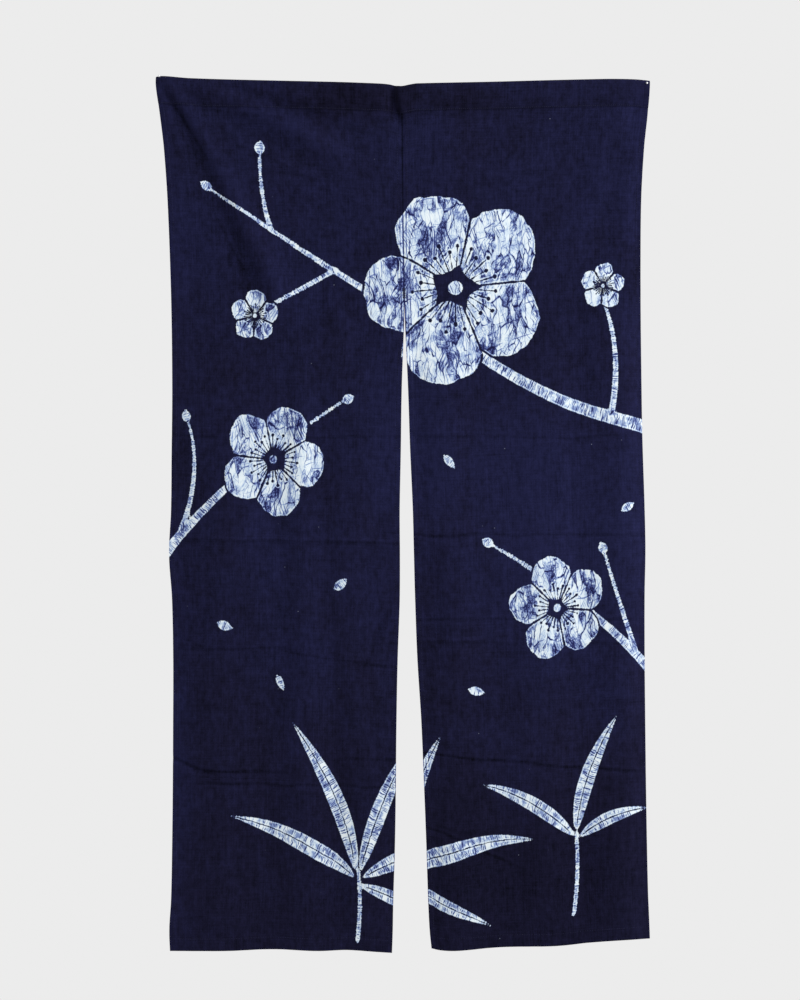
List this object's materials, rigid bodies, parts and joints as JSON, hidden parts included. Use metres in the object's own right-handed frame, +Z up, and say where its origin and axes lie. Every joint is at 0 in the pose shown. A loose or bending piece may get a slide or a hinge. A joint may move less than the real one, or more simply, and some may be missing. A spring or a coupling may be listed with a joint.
{
  "type": "noren curtain with wall pins",
  "caption": "Split doorway curtain of dyed cotton panels sewn together at the top, with a rod pocket, an open slit below and a small steel wall pin at each top corner.",
  "frame": {"origin": "middle of the top edge, on the fold of the heading where the panels join", "axes": "+Z up, +X to the right of someone facing the front, -Y out of the front towards them, +Y to the wall behind"},
  "size_m": [0.8499, 0.0289, 1.5085],
  "materials": {
    "indigo_cotton": "matte plain-weave cotton dyed dark indigo, with a white crackled wax-resist design",
    "pin_steel": "bright steel"
  },
  "bodies": {
    "root": {"heading": "indigo_cotton", "panel_left": "indigo_cotton", "panel_right": "indigo_cotton", "pin_left": "pin_steel", "pin_right": "pin_steel"}
  },
  "joints": []
}
